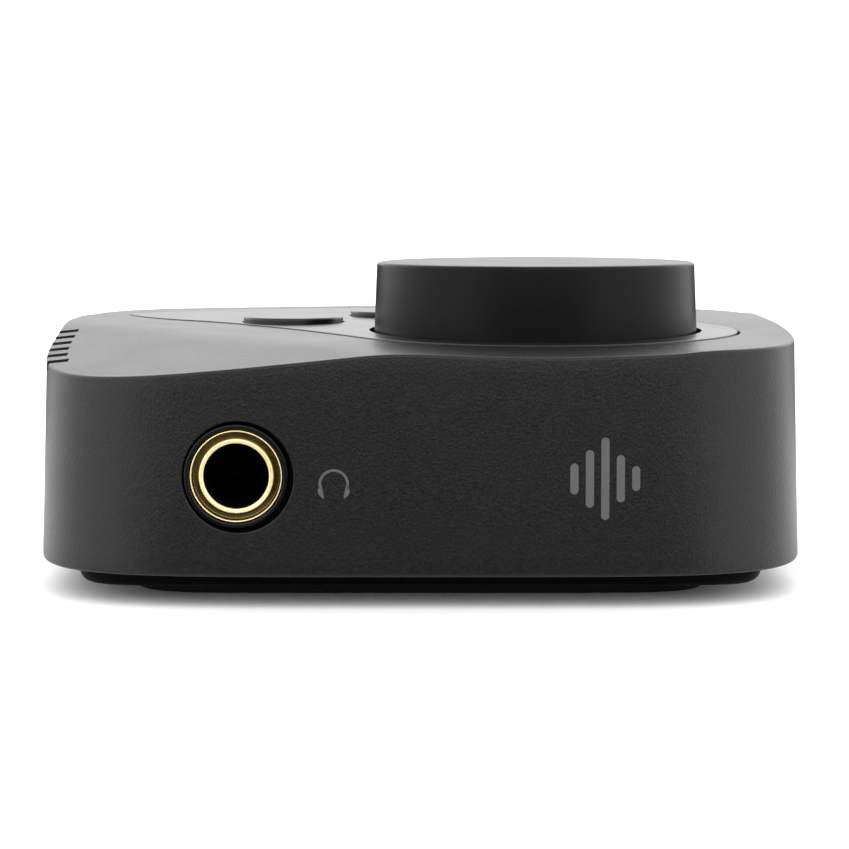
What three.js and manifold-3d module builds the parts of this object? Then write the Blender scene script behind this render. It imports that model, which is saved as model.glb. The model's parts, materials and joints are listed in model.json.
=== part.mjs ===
// Desktop headphone audio interface: a rounded square housing with a sloped front left corner, a large
// volume knob, three round buttons, sockets front and rear, and the boards, battery and screws inside.
// Millimetres. +X is the user's right, +Y the rear, +Z up; the origin is on the table under the centre.
import * as THREE from 'three';
import { mergeVertices } from 'three/addons/utils/BufferGeometryUtils.js';
import Module from 'manifold-3d';

const wasm = await Module();
wasm.setup();

// ---- Driving dimensions -------------------------------------------------------------------------
const BASE = 3.1; // table to the lower edge of the housing wall; heights below are above this edge
const HALF = 39.3; // half the housing's width at its lower edge
const HALF_TOP = 38.75; // the same at its upper edge
const SQUARENESS = 5; // exponent of the housing's rounded square outline, |x|^n + |y|^n = half^n
const FACE = 38.8; // where the front and rear walls stand at the sockets
const WALL = 2.7;
const EDGE = 0.3; // chamfer round the upper and lower edges
const ROOF_INSIDE = 19.4; // highest point of the cavity
const LIP_HEIGHT = 2.0; // thick foot of the wall, around the bottom cover
const GAP = 0.3; // clearance round inset pieces

// Height of the wall's upper edge against the plan angle in degrees, counter-clockwise from +X, before
// the sloped corner is taken off.
const RIM = [
  [0, 23], [20, 23], [32, 22.7], [45, 22.6], [58, 22.6], [90, 22.85], [122, 22.6], [135, 22.55],
  [148, 22.6], [165, 22.95], [180, 23.05], [200, 23], [225, 22.4], [250, 22.2], [266, 21.75], [288, 21.3],
  [303, 21.6], [308, 21.9], [315, 22], [328, 22.25], [340, 22.7], [352, 22.95], [360, 23],
];
// The sloped corner is a plane: its height at a point of the left wall, and its rise along X and Y.
const SLOPE = { x: -39, y: -12, height: 21.7, alongX: 0.102, alongY: 0.137, blend: 0.5 };
const CROWN_REAR = 22.8; // height of the crowned top at the rear edge
const CROWN_DROP = 0.8; // how far the crown has dropped CROWN_SPAN in front of the rear edge
const CROWN_SPAN = 71;

const PANEL_ARC = { x: 12.4, y: -10.5, r: 21.5, from: 213, to: 382 };
const PANEL_FLOOR = 20.75; // floor of the pocket that takes the top panel
const PANEL_PROUD = 0.12;

const KNOB = { x: 12.2, y: -10.5, base: 21.4, top: 29.8, rBase: 17.15, rTop: 16.8, skin: 1.8, clear: 0.5 };
const SHAFT_R = 3;
const BUTTONS = [
  { name: 'rear', x: 14.5, y: 15.6 },
  { name: 'middle', x: -2.5, y: 14.1 },
  { name: 'left', x: -14.1, y: 2.6 },
];
const BUTTON = { r: 5.5, proud: 0.6, hole: 5.7, flangeR: 6.1, flangeLow: 18.3, flangeHigh: 19.15 };

const PHONES = { x: -17.9, h: 9.8, hole: 5.35, bezel: 5.05, ferrule: 4.45, bore: 3.25 };
const LINE_IN = { x: -17, h: 11.2, hole: 3.2, nose: 2.95, ring: 2.45, bore: 1.8 };
const USB = { x: -0.2, h: 11.2, cutW: 10.2, cutH: 4.3, w: 8.94, t: 3.26, skin: 0.3, mouth: 35.9, depth: 7.3 };
const SWITCH = { x: 16.5, h: 10, slotW: 8.1, slotH: 4.45, travel: 2.86, nubW: 5, nubH: 3.95 };
const LED = { x: 8.9, h: 12.7, hole: 0.5 };
const VENTS = { count: 6, first: -9, pitch: 3.25, width: 1.5, depth: 2.15, down: 0.9 };

const POSTS = [[27, 25.4], [-27, 25.4], [-27, -25.4], [27, -25.4]]; // screw posts, plan
const POST_R = 2.4;
const COVER = { half: 34.4, squareness: 16, low: -1.65, high: 1.6, round: 1.3 };
const PAD = { half: 29.8, squareness: 8, depthShare: 0.925, forward: 1.4, round: 0.45 };
const MAIN_BOARD = { low: 8, high: 9.5 };
const CONTROL_BOARD = { low: 14, high: 15.2 };

// ---- Solids -------------------------------------------------------------------------------------
// A closed three.js geometry as a manifold solid, without the triangles that collapse on an axis.
function solid(geometry) {
  const bare = geometry.clone();
  for (const name of Object.keys(bare.attributes)) if (name !== 'position') bare.deleteAttribute(name);
  const merged = mergeVertices(bare, 1e-5);
  const index = merged.index.array;
  const kept = [];
  for (let i = 0; i < index.length; i += 3) {
    const [a, b, c] = [index[i], index[i + 1], index[i + 2]];
    if (a !== b && b !== c && c !== a) kept.push(a, b, c);
  }
  const vertProperties = new Float32Array(merged.attributes.position.array);
  return new wasm.Manifold(new wasm.Mesh({ numProp: 3, vertProperties, triVerts: new Uint32Array(kept) }));
}

const join = (first, ...rest) => rest.reduce((whole, piece) => whole.add(piece), first);
const cut = (first, ...rest) => rest.reduce((whole, piece) => whole.subtract(piece), first);

function geometryOf(body) {
  const mesh = body.getMesh();
  const geometry = new THREE.BufferGeometry();
  geometry.setAttribute('position', new THREE.BufferAttribute(new Float32Array(mesh.vertProperties), 3));
  geometry.setIndex([...mesh.triVerts]);
  geometry.computeVertexNormals();
  return geometry;
}

// Box from low to high corner; the third number of each is a height above the wall's lower edge.
function box([x0, y0, h0], [x1, y1, h1]) {
  const geometry = new THREE.BoxGeometry(x1 - x0, y1 - y0, h1 - h0);
  return solid(geometry.translate((x0 + x1) / 2, (y0 + y1) / 2, BASE + (h0 + h1) / 2));
}

// Upright cylinder between two heights.
function post(x, y, r, h0, h1, sides = 24) {
  const geometry = new THREE.CylinderGeometry(r, r, h1 - h0, sides).rotateX(Math.PI / 2);
  return solid(geometry.translate(x, y, BASE + (h0 + h1) / 2));
}

// Cylinder along Y from y0 to y1.
function rod(x, h, r, y0, y1, sides = 30) {
  const geometry = new THREE.CylinderGeometry(r, r, y1 - y0, sides);
  return solid(geometry.translate(x, (y0 + y1) / 2, BASE + h));
}

// Solid of revolution about an upright axis; the profile is [radius, height] pairs.
function turned(profile, x, y, sides = 30) {
  const points = profile.map(([r, h]) => new THREE.Vector2(r, BASE + h));
  return solid(new THREE.LatheGeometry(points, sides).rotateX(Math.PI / 2).translate(x, y, 0));
}

function slab(shape, h0, h1, curveSegments = 8) {
  const geometry = new THREE.ExtrudeGeometry(shape, { depth: h1 - h0, bevelEnabled: false, curveSegments });
  return solid(geometry.translate(0, 0, BASE + h0));
}

// Stadium-shaped bar along Y, w wide and t high, centred at x and height h.
function stadium(x, h, w, t, y0, y1, curveSegments = 5) {
  const r = t / 2 - 0.001;
  const shape = roundedRect(w / 2, t / 2, r);
  const geometry = new THREE.ExtrudeGeometry(shape, { depth: y1 - y0, bevelEnabled: false, curveSegments });
  return solid(geometry.rotateX(Math.PI / 2).translate(x, y1, BASE + h));
}

function roundedRect(halfW, halfD, r) {
  const shape = new THREE.Shape();
  shape.moveTo(halfW, -halfD + r);
  shape.lineTo(halfW, halfD - r);
  shape.absarc(halfW - r, halfD - r, r, 0, Math.PI / 2);
  shape.lineTo(-halfW + r, halfD);
  shape.absarc(-halfW + r, halfD - r, r, Math.PI / 2, Math.PI);
  shape.lineTo(-halfW, -halfD + r);
  shape.absarc(-halfW + r, -halfD + r, r, Math.PI, 1.5 * Math.PI);
  shape.lineTo(halfW - r, -halfD);
  shape.absarc(halfW - r, -halfD + r, r, 1.5 * Math.PI, 2 * Math.PI);
  return shape;
}

// ---- The housing's outline and top surface ------------------------------------------------------
const OUTLINE_STEPS = 60;
const CORNER_BIAS = 0.12; // how strongly the points gather at the corners

// Plan outline of a rounded square, counter-clockwise, with the same point count for every size.
function outline(half, squareness = SQUARENESS) {
  return Array.from({ length: OUTLINE_STEPS }, (_, i) => {
    const turn = (2 * Math.PI * i) / OUTLINE_STEPS;
    const angle = turn + CORNER_BIAS * Math.sin(4 * turn);
    const [c, s] = [Math.cos(angle), Math.sin(angle)];
    const radius = half * (Math.abs(c) ** squareness + Math.abs(s) ** squareness) ** (-1 / squareness);
    return [radius * c, radius * s];
  });
}

const shapeOf = (points) => new THREE.Shape(points.map(([x, y]) => new THREE.Vector2(x, y)));

// Height of the rim at a plan angle: a curve through the RIM values that never overshoots them.
function rimHeight(angle) {
  const a = (angle + 360) % 360;
  const last = RIM.length - 1;
  const i = Math.max(0, Math.min(last - 1, RIM.findIndex(([to]) => to > a) - 1));
  const slope = (k) => (RIM[k + 1][1] - RIM[k][1]) / (RIM[k + 1][0] - RIM[k][0]);
  const tangent = (k) => {
    const [before, after] = [slope(k === 0 ? last - 1 : k - 1), slope(k === last ? 0 : k)];
    return before * after > 0 ? (2 * before * after) / (before + after) : 0;
  };
  const width = RIM[i + 1][0] - RIM[i][0];
  const t = (a - RIM[i][0]) / width;
  return (
    RIM[i][1] * (1 + 2 * t) * (1 - t) ** 2 +
    RIM[i + 1][1] * t * t * (3 - 2 * t) +
    width * tangent(i) * t * (1 - t) ** 2 +
    width * tangent(i + 1) * t * t * (t - 1)
  );
}

const crown = (y) => CROWN_REAR - CROWN_DROP * ((HALF - y) / CROWN_SPAN) ** 2;

// Leaf-shaped outline of the top panel: an arc round the knob, running out to a tip at the left rear.
function panelShape(inset) {
  const { x, y, r, from, to } = PANEL_ARC;
  const shape = new THREE.Shape();
  shape.absarc(x, y, r - inset, THREE.MathUtils.degToRad(from), THREE.MathUtils.degToRad(to));
  shape.lineTo(24.2 - inset, 17);
  shape.quadraticCurveTo(20.5 - inset, 29.5 - inset, 9, 30.5 - inset);
  shape.bezierCurveTo(-14, 31 - inset, -24, 28.5 - inset, -32.6 + inset, 19.3 - 0.5 * inset);
  shape.quadraticCurveTo(-34.6 + inset, 17.2, -33 + inset, 14.6);
  shape.quadraticCurveTo(-30.5 + inset, 9, -26 + 0.6 * inset, 5.2 + 0.8 * inset);
  const start = THREE.MathUtils.degToRad(from);
  const [endX, endY] = [x + (r - inset) * Math.cos(start), y + (r - inset) * Math.sin(start)];
  shape.quadraticCurveTo(-17.6 + 0.7 * inset, -1.5 + 0.7 * inset, endX, endY);
  shape.closePath();
  return shape;
}

// Distance from the centre to a closed plan curve, along a plan direction.
function reach(points, angle) {
  const [dx, dy] = [Math.cos(angle), Math.sin(angle)];
  let best = 0;
  points.forEach((p, i) => {
    const q = points[(i + 1) % points.length];
    const [ex, ey] = [q.x - p.x, q.y - p.y];
    const det = ex * dy - ey * dx;
    if (Math.abs(det) < 1e-12) return;
    const distance = (ex * p.y - ey * p.x) / det;
    const along = (dx * p.y - dy * p.x) / det;
    if (distance > 0 && along >= -1e-9 && along <= 1 + 1e-9) best = Math.max(best, distance);
  });
  return best;
}

const PANEL_POINTS = panelShape(0).getPoints(24);
const RIM_POINTS = outline(HALF_TOP).map(([x, y]) => new THREE.Vector2(x, y));

// Crowned over the panel, then ruled out to the rim.
function crownedHeight(x, y) {
  const angle = Math.atan2(y, x);
  const inner = reach(PANEL_POINTS, angle);
  const radius = Math.hypot(x, y);
  if (radius <= inner) return crown(y);
  const t = Math.min(1, (radius - inner) / (reach(RIM_POINTS, angle) - inner));
  return THREE.MathUtils.lerp(crown(inner * Math.sin(angle)), rimHeight(THREE.MathUtils.radToDeg(angle)), t);
}

// Height of the housing's top at a plan point: the lower of the crowned top and the sloped corner,
// with a soft line between them.
function topHeight(x, y) {
  const upper = crownedHeight(x, y);
  const sloped = SLOPE.height + SLOPE.alongX * (x - SLOPE.x) + SLOPE.alongY * (y - SLOPE.y);
  const near = Math.max(0, 1 - Math.abs(upper - sloped) / SLOPE.blend);
  return Math.min(upper, sloped) - (SLOPE.blend / 4) * near * near;
}

// Closed skin through rings of equal point count, from a centre point to a centre point.
function lofted(first, rings, last) {
  const count = rings[0].length;
  const positions = [first, ...rings.flat(), last].flat();
  const index = [];
  for (let i = 0; i < count; i += 1) {
    const j = (i + 1) % count;
    index.push(0, 1 + i, 1 + j);
    for (let k = 0; k + 1 < rings.length; k += 1) {
      const [a, b] = [1 + k * count, 1 + (k + 1) * count];
      index.push(a + i, b + i, b + j, a + i, b + j, a + j);
    }
    const end = 1 + (rings.length - 1) * count;
    index.push(end + i, 1 + rings.length * count, end + j);
  }
  const geometry = new THREE.BufferGeometry();
  geometry.setAttribute('position', new THREE.Float32BufferAttribute(positions, 3));
  geometry.setIndex(index);
  return solid(geometry);
}

// A ring of the top surface, part of the way from the centre (0) to the given outline (1).
const topRing = (edge, share, height) =>
  edge.map(([x, y]) => [x * share, y * share, BASE + height(x * share, y * share)]);
const levelRing = (edge, h) => edge.map(([x, y]) => [x, y, BASE + h]);

function housingBlank() {
  const crest = outline(HALF_TOP - EDGE);
  const edgeRing = outline(HALF_TOP).map(([x, y]) => [x, y, BASE + topHeight(x, y) - EDGE]);
  const rings = [0.4, 0.65, 0.82, 1].map((share) => topRing(crest, share, topHeight));
  rings.push(edgeRing, levelRing(outline(HALF), EDGE), levelRing(outline(HALF - EDGE), 0));
  return lofted([0, 0, BASE + topHeight(0, 0)], rings, [0, 0, BASE]);
}

function cavity() {
  const edge = outline(HALF_TOP - WALL);
  const ceiling = (x, y) => Math.min(ROOF_INSIDE, topHeight(x, y) - WALL);
  const rings = [0.6, 1].map((share) => topRing(edge, share, ceiling));
  rings.push(levelRing(edge, LIP_HEIGHT));
  return lofted([0, 0, BASE + ceiling(0, 0)], rings, [0, 0, BASE + LIP_HEIGHT]);
}

// ---- Pieces -------------------------------------------------------------------------------------
const device = new THREE.Group();
device.name = 'audio_interface';

function part(name, body, color, roughness, metalness = 0) {
  const material = new THREE.MeshStandardMaterial({ color, roughness, metalness });
  const mesh = new THREE.Mesh(geometryOf(body), material);
  mesh.name = name;
  device.add(mesh);
}

const BLACK = 0x2b2b2d;
const GLOSS = 0x1d1d1f;
const RUBBER = 0x111111;
const BRASS = 0xc9a24a;
const STEEL = 0xa9abad;
const BOARD = 0x14352a;
const CHIP = 0x101012;
const WHITE = 0xe8e8e6;

function housing() {
  const posts = POSTS.map(([x, y]) => post(x, y, POST_R, LIP_HEIGHT - 0.1, topHeight(x, y) - 1));
  const pilots = POSTS.map(([x, y]) => post(x, y, 1.05, 0, 9, 20));
  const opening = slab(shapeOf(outline(COVER.half + GAP, COVER.squareness)), -1, LIP_HEIGHT + 1);
  const vents = [];
  for (let i = 0; i < VENTS.count; i += 1) {
    const y = VENTS.first - i * VENTS.pitch;
    const wall = (HALF_TOP ** SQUARENESS - Math.abs(y) ** SQUARENESS) ** (1 / SQUARENESS);
    const low = topHeight(-wall, y) - VENTS.down;
    vents.push(box([-HALF - 1, y - VENTS.width / 2, low], [-wall + VENTS.depth, y + VENTS.width / 2, 30]));
  }
  const buttonHoles = BUTTONS.map(({ x, y }) => post(x, y, BUTTON.hole, 15, 26, 30));
  const rear = [HALF - WALL - 2, HALF + 1];
  let body = cut(housingBlank(), cavity(), opening);
  body = cut(join(body, ...posts), ...pilots, ...vents, ...buttonHoles);
  return cut(
    body,
    slab(panelShape(0), PANEL_FLOOR, 26, 9),
    post(KNOB.x, KNOB.y, 4, 15, 26),
    rod(PHONES.x, PHONES.h, PHONES.hole, -HALF - 1, -HALF + WALL + 2, 30),
    rod(LINE_IN.x, LINE_IN.h, LINE_IN.hole, ...rear),
    stadium(USB.x, USB.h, USB.cutW, USB.cutH, ...rear),
    stadium(SWITCH.x, SWITCH.h, SWITCH.slotW, SWITCH.slotH, ...rear),
    rod(LED.x, LED.h, LED.hole, ...rear, 16),
  );
}

function topPanel() {
  const edge = outline(HALF_TOP - EDGE);
  const surface = (x, y) => crown(y) + PANEL_PROUD;
  const rings = [0.5, 1].map((share) => topRing(edge, share, surface));
  rings.push(levelRing(edge, PANEL_FLOOR + 0.05));
  const blank = lofted([0, 0, BASE + surface(0, 0)], rings, [0, 0, BASE + PANEL_FLOOR + 0.05]);
  const leaf = slab(panelShape(GAP), PANEL_FLOOR - 1, 26, 9);
  const holes = BUTTONS.map(({ x, y }) => post(x, y, BUTTON.hole, 15, 26, 30));
  return cut(blank.intersect(leaf), post(KNOB.x, KNOB.y, KNOB.rBase + KNOB.clear, 15, 26, 96), ...holes);
}

function bottomCover() {
  const { half, squareness, low, high, round } = COVER;
  const ring = (inset, h) => levelRing(outline(half - inset, squareness), h);
  const rings = [ring(0, high), ring(0, low + round), ring(0.3 * round, low + 0.35 * round), ring(round, low)];
  const blank = lofted([0, 0, BASE + high], rings, [0, 0, BASE + low]);
  const pegs = [[-29, 12], [-12, 27.5], [20, 28.5], [10, -30.5]];
  const supports = pegs.map(([x, y]) => post(x, y, 1.6, high - 0.2, MAIN_BOARD.low - 0.05, 20));
  const sinks = POSTS.map(([x, y]) => post(x, y, 2.1, low - 1, -0.2, 24));
  const holes = POSTS.map(([x, y]) => post(x, y, 1.15, low - 1, high + 1, 20));
  return cut(join(blank, ...supports), ...sinks, ...holes);
}

function rubberPad() {
  const { half, squareness, depthShare, forward, round } = PAD;
  const [low, high] = [-BASE, COVER.low - 0.05];
  const ring = (inset, h) =>
    outline(half - inset, squareness).map(([x, y]) => [x, y * depthShare - forward, BASE + h]);
  const rings = [ring(0, high), ring(0, low + round), ring(0.3 * round, low + 0.3 * round), ring(round, low)];
  return lofted([0, -forward, BASE + high], rings, [0, -forward, 0]);
}

// The knob is a hollow cap on a boss that holds the encoder's shaft.
function volumeKnob() {
  const { x, y, base, top, rBase, rTop, skin } = KNOB;
  const under = top - 2;
  const profile = [
    [0, top], [rTop - EDGE, top], [rTop, top - EDGE], [rBase, base + 0.3], [rBase - 0.3, base],
    [rBase - skin, base], [rTop - skin, under], [4.8, under], [4.8, base + 2.2], [SHAFT_R + 0.1, base + 2.2],
    [SHAFT_R + 0.1, under + 0.6], [0, under + 0.6],
  ];
  return turned(profile.reverse(), x, y, 48);
}

function encoder() {
  const { x, y } = KNOB;
  const floor = CONTROL_BOARD.high + 0.05;
  const can = box([x - 6, y - 6, floor], [x + 6, y + 6, 19.2]);
  const bushing = post(x, y, 3.5, 19, 23.4, 16);
  part('encoder_body', cut(join(can, bushing), post(x, y, SHAFT_R + 0.1, 16, 24, 16)), STEEL, 0.4, 0.9);
  part('encoder_shaft', post(x, y, SHAFT_R, 16.2, KNOB.top - 1.6, 16), STEEL, 0.3, 1);
  const hole = post(x, y, 3.6, 20, 25, 16);
  part('encoder_nut', cut(post(x, y, 5.6, 21.25, 22.3, 6), hole), STEEL, 0.3, 1);
  part('encoder_washer', cut(post(x, y, 6, 20.85, 21.2, 20), hole), STEEL, 0.3, 1);
}

function pushButton({ name, x, y }) {
  const { r, proud, flangeR, flangeLow, flangeHigh } = BUTTON;
  const top = crown(y) + PANEL_PROUD + proud;
  const profile = [
    [0, flangeLow], [flangeR, flangeLow], [flangeR, flangeHigh], [r, flangeHigh], [r, top - EDGE],
    [r - EDGE, top], [0, top],
  ];
  const floor = CONTROL_BOARD.high + 0.05;
  part(`button_${name}`, turned(profile, x, y, 30), BLACK, 0.55);
  part(`plunger_${name}`, post(x, y, 1.5, 16.6, flangeLow - 0.05, 20), RUBBER, 0.6);
  const can = cut(box([x - 3, y - 3, floor], [x + 3, y + 3, 17.4]), post(x, y, 1.7, 15.8, 18, 20));
  part(`switch_${name}`, can, STEEL, 0.4, 0.8);
}

function headphoneSocket() {
  const { x, h, bezel, ferrule, bore } = PHONES;
  const block = box([x - 6.3, -34.5, h - 6], [x + 6.3, -11, h + 6]);
  const collar = rod(x, h, bezel, 1.15 - FACE, -34.4, 30);
  const spring = box([x - 1, -20, h], [x + 1, -12, h + 7]);
  const bores = [rod(x, h, ferrule + 0.1, -40, -29.9, 30), rod(x, h, bore, -30, -13)];
  part('headphone_jack_body', cut(join(block, collar), ...bores, spring), GLOSS, 0.5);
  const lip = rod(x, h, bezel, 0.1 - FACE, 1.1 - FACE, 30);
  part('headphone_jack_bezel', cut(lip, rod(x, h, ferrule + 0.1, -40, -36, 30)), GLOSS, 0.4);
  const rimCut = rod(x, h, ferrule - 0.9, -40, 0.45 - FACE, 30);
  const tube = cut(rod(x, h, ferrule, 0.2 - FACE, -30, 30), rod(x, h, bore, -39, -29, 30), rimCut);
  part('headphone_jack_ferrule', tube, BRASS, 0.25, 1);
  part('headphone_tip_contact', box([x - 0.7, -19.5, h + 3.6], [x + 0.7, -12.5, h + 4]), BRASS, 0.3, 1);
}

function lineSocket() {
  const { x, h, nose, ring, bore } = LINE_IN;
  const block = box([x - 5.5, 24, h - 2.75], [x + 5.5, 35.2, h + 2.7]);
  const snout = rod(x, h, nose, 35, FACE - 0.65, 30);
  const hollow = [rod(x, h, ring + 0.1, 34, 39), rod(x, h, bore, 25.5, 35)];
  part('line_jack_body', cut(join(block, snout), ...hollow), GLOSS, 0.5);
  const tube = cut(rod(x, h, ring, 34.1, FACE - 0.8, 24), rod(x, h, bore, 33, 39, 24));
  part('line_jack_ring', tube, STEEL, 0.3, 1);
}

function usbSocket() {
  const { x, h, w, t, skin, mouth, depth } = USB;
  const inner = [w - 2 * skin, t - 2 * skin];
  const tube = cut(stadium(x, h, w, t, mouth - depth, mouth), stadium(x, h, ...inner, mouth - depth - 1, mouth + 1));
  part('usb_socket_shell', tube, STEEL, 0.25, 1);
  const plug = stadium(x, h, inner[0] - 0.1, inner[1] - 0.1, mouth - depth + 0.1, mouth - depth + 2);
  const tongue = box([x - 3.35, mouth - depth + 1, h - 0.35], [x + 3.35, mouth - 1, h + 0.35]);
  part('usb_socket_tongue', join(plug, tongue), CHIP, 0.5);
}

function powerSwitch() {
  const { x, h, travel, nubW, nubH } = SWITCH;
  const at = x + travel / 2; // where the slider is parked
  const [plateRear, face] = [34.8, FACE - 0.5];
  const plate = stadium(at, h, 12, 6.4, plateRear - 0.8, plateRear);
  const nub = stadium(at, h, nubW, nubH, plateRear - 0.1, face);
  const lever = box([at - 1, 33, h - 0.8], [at + 1, plateRear - 0.4, h + 0.8]);
  const seat = rod(at, h, 1.15, face - 0.3, face + 1, 24);
  part('power_slider', cut(join(plate, nub, lever), seat), GLOSS, 0.55);
  const marker = cut(rod(at, h, 1.05, face - 0.25, face, 24), rod(at, h, 0.5, face - 1, face + 1, 20));
  part('power_slider_marker', marker, WHITE, 0.5);
  const can = box([x - 5, 29.8, h - 2], [x + 5, 33.9, h + 2.2]);
  const track = box([x - travel / 2 - 1.4, 32.5, h - 1.1], [x + travel / 2 + 1.4, 35, h + 1.1]);
  part('power_switch_body', cut(can, track), STEEL, 0.4, 0.8);
}

function statusLight() {
  const { x, h, hole } = LED;
  part('status_light_pipe', rod(x, h, hole - 0.12, 33.85, FACE - 0.5, 16), WHITE, 0.2);
  part('status_led', box([x - 1, 31.2, MAIN_BOARD.high + 0.05], [x + 1, 33.8, h + 0.8]), WHITE, 0.4);
}

function boards() {
  const postGaps = POSTS.map(([x, y]) => post(x, y, POST_R + GAP, 0, 20));
  const phonesGap = box([-40, -40, 0], [PHONES.x + 6.6, -10.7, 20]);
  const lineGap = box([LINE_IN.x - 5.8, 23.7, 0], [LINE_IN.x + 5.8, 40, 20]);
  const switchGap = box([SWITCH.x - 5.3, 29.5, 0], [SWITCH.x + 5.3, 40, 20]);
  const sliderGap = box([SWITCH.x - 10, 33.8, 0], [SWITCH.x + 10, 40, 20]);
  const main = slab(roundedRect(34.2, 34.2, 10), MAIN_BOARD.low, MAIN_BOARD.high, 3);
  part('main_board', cut(main, phonesGap, lineGap, switchGap, sliderGap, ...postGaps), BOARD, 0.5);
  const control = box([-23, -29, CONTROL_BOARD.low], [33, 23.2, CONTROL_BOARD.high]);
  part('control_board', cut(control, phonesGap, ...postGaps), BOARD, 0.5);
}

function boardParts() {
  const floor = MAIN_BOARD.high + 0.05;
  const chip = (name, x, y, w, d, t, color = CHIP) =>
    part(name, box([x - w / 2, y - d / 2, floor], [x + w / 2, y + d / 2, floor + t]), color, 0.4);
  chip('processor_chip', 8, 6, 10, 10, 1);
  chip('codec_chip', -8, -2, 7, 7, 0.9);
  chip('charger_chip', 4, 22, 4, 4, 0.8);
  chip('power_inductor', 14, 22, 5, 5, 2.4, 0x3a3a3c);
  chip('battery_connector', 26, 8, 4.5, 7, 3.4, WHITE);
  chip('board_connector', -18, 6, 4, 16, CONTROL_BOARD.low - floor - 0.05, CHIP);
  const capacitors = [[-6, -15], [0, -15], [6, -15], [12, -15]];
  capacitors.forEach(([x, y], i) => {
    part(`capacitor_${i + 1}`, post(x, y, 2.5, floor, floor + 4.2, 16), STEEL, 0.3, 0.9);
  });
  const spacers = [[28.5, -12], [28.5, 17], [-6, 20.5]];
  spacers.forEach(([x, y], i) => {
    part(`board_spacer_${i + 1}`, post(x, y, 2, floor, CONTROL_BOARD.low - 0.05, 6), BRASS, 0.3, 1);
  });
}

function battery() {
  const cell = roundedRect(17, 22, 2.5);
  const body = slab(cell, COVER.high + 0.4, MAIN_BOARD.low - 0.8, 4);
  part('battery_cell', body.translate([11.7, -0.5, 0]), 0x8d9094, 0.45, 0.3);
}

function coverScrew([x, y], i) {
  const profile = [[0, -1.5], [1.75, -1.5], [1.75, -0.35], [0.95, -0.35], [0.95, 7], [0, 7]];
  part(`cover_screw_${i + 1}`, turned(profile, x, y, 14), STEEL, 0.35, 1);
}

part('top_shell', housing(), BLACK, 0.6);
part('top_panel', topPanel(), GLOSS, 0.35);
part('bottom_cover', bottomCover(), GLOSS, 0.55);
part('rubber_pad', rubberPad(), RUBBER, 0.9);
part('volume_knob', volumeKnob(), BLACK, 0.45);
encoder();
BUTTONS.forEach(pushButton);
headphoneSocket();
lineSocket();
usbSocket();
powerSwitch();
statusLight();
boards();
boardParts();
battery();
POSTS.forEach(coverScrew);

export default device;
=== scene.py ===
# Looks for the desktop audio interface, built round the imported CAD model.
# Lengths are millimetres until they reach Blender; heights h are above the wall's lower edge.
import json
import math

import bmesh
import bpy
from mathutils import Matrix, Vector


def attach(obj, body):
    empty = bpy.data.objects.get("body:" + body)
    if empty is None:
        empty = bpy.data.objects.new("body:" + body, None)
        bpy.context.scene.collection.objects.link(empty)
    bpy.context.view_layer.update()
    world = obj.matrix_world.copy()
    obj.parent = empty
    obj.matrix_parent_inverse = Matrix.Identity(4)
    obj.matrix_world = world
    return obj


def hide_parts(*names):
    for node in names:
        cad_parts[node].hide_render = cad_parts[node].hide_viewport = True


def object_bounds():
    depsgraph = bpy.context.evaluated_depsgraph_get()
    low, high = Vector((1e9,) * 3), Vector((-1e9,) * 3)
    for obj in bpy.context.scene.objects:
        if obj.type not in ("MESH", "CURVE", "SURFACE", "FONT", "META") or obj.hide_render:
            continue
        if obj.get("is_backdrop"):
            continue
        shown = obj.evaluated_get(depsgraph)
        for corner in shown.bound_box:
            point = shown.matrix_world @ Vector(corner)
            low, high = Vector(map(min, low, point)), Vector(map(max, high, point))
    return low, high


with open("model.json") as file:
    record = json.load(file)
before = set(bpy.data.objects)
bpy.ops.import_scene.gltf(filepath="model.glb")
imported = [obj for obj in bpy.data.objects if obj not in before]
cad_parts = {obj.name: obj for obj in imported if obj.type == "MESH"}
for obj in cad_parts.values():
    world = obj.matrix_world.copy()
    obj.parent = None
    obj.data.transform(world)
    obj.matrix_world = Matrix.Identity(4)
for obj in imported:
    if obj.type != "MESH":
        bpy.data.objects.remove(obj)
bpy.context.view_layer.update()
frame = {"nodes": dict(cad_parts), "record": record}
MM = 0.001
TURN = 2 * math.pi

# ---- Dimensions, the same as the CAD part's except where noted ------------------------------------
BASE = 3.1
HALF, HALF_TOP = 39.3, 38.75
SQUARENESS = 5.0
COVER_SQUARENESS, PAD_SQUARENESS = 16.0, 8.0
WALL, EDGE = 2.7, 0.3
ROOF_INSIDE, LIP_HEIGHT = 19.4, 2.0
PANEL_FLOOR, PANEL_GAP, PANEL_PROUD = 20.75, 0.28, 0.12
ARC_X, ARC_Y, ARC_R, ARC_FROM, ARC_TO = 12.4, -10.5, 21.5, 213, 382
RIM = [
    (0, 23), (20, 23), (32, 22.7), (45, 22.6), (58, 22.6), (90, 22.85), (122, 22.6), (135, 22.55),
    (148, 22.6), (165, 22.95), (180, 23.05), (200, 23), (225, 22.4), (250, 22.2), (266, 21.75), (288, 21.3),
    (303, 21.6), (308, 21.9), (315, 22), (328, 22.25), (340, 22.7), (352, 22.95), (360, 23),
]
KNOB_X, KNOB_Y = 12.2, -10.5
KNOB_BASE, KNOB_TOP, KNOB_UNDER = 21.4, 29.8, 27.7
KNOB_FOOT_R, KNOB_BROW_R, KNOB_SKIN, KNOB_HOLE_R = 17.15, 16.8, 1.8, 17.65
BUTTONS = {"rear": (14.5, 15.6), "middle": (-2.5, 14.1), "left": (-14.1, 2.6)}
BUTTON_R, BUTTON_HOLE_R, BUTTON_PROUD = 5.5, 5.7, 0.6
FLANGE_R, FLANGE_LOW, FLANGE_HIGH = 6.1, 18.3, 19.15
VENTS, VENT_FIRST, VENT_PITCH, VENT_WIDTH, VENT_DEPTH, VENT_DOWN = 6, -9, 3.25, 1.5, 2.15, 0.9
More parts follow.
